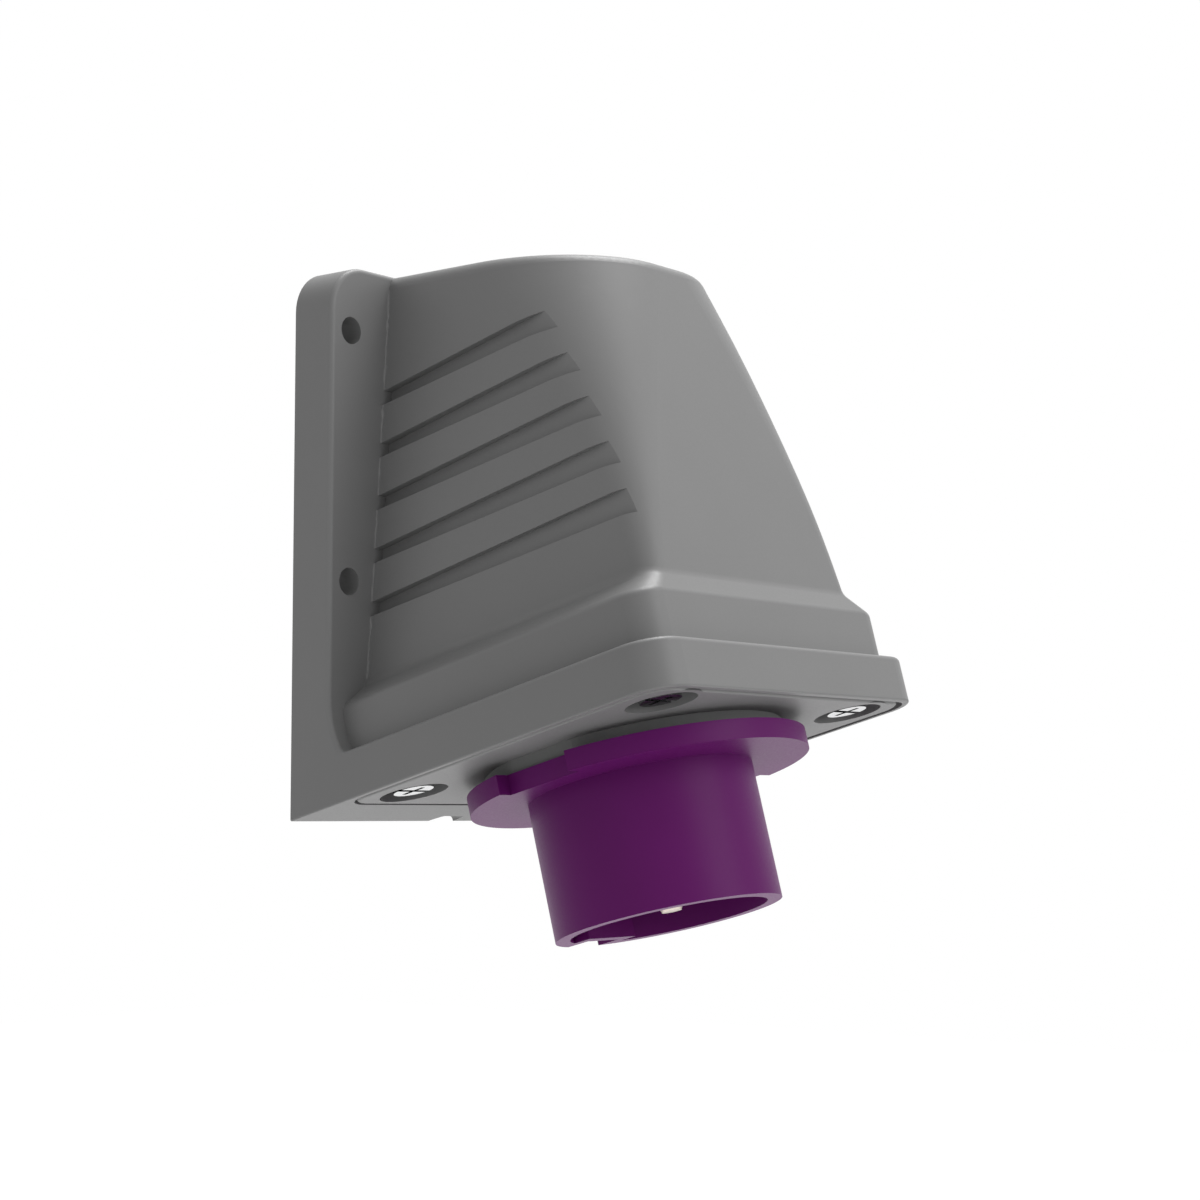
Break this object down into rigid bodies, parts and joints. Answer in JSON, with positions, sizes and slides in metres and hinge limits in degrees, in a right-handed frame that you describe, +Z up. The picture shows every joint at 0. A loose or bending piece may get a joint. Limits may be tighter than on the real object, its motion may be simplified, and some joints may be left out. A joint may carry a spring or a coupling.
{
  "type": "angled wall inlet",
  "caption": "Grey wall-mounted housing with a sloping underside that carries a violet shrouded extra-low-voltage power inlet facing down and forward.",
  "frame": {"origin": "centre of the four fixing holes, on the wall plane", "axes": "+X right for someone facing the wall, +Y into the wall, +Z up; the object stands in front of the wall on the -Y side"},
  "size_m": [0.088, 0.091, 0.1348],
  "materials": {
    "housing_grey": "fine satin",
    "insert_violet": "satin",
    "inner_plastic": "satin",
    "seal_rubber": "matt",
    "screw_steel": "zinc plated",
    "contact_brass": "nickel-plated"
  },
  "bodies": {
    "root": {"housing_shell": "housing_grey", "base_panel": "housing_grey", "panel_gasket": "seal_rubber", "panel_screws": "screw_steel", "screw_washers": "screw_steel", "threaded_inserts": "contact_brass", "inlet_shroud": "insert_violet", "shroud_seal": "seal_rubber", "shroud_ring_nut": "inner_plastic", "contact_carrier": "inner_plastic", "contact_pin_front": "contact_brass", "contact_pin_right": "contact_brass", "contact_pin_left": "contact_brass", "terminal_screws": "screw_steel", "carrier_screws": "screw_steel", "cable_grommet": "seal_rubber"}
  },
  "joints": []
}
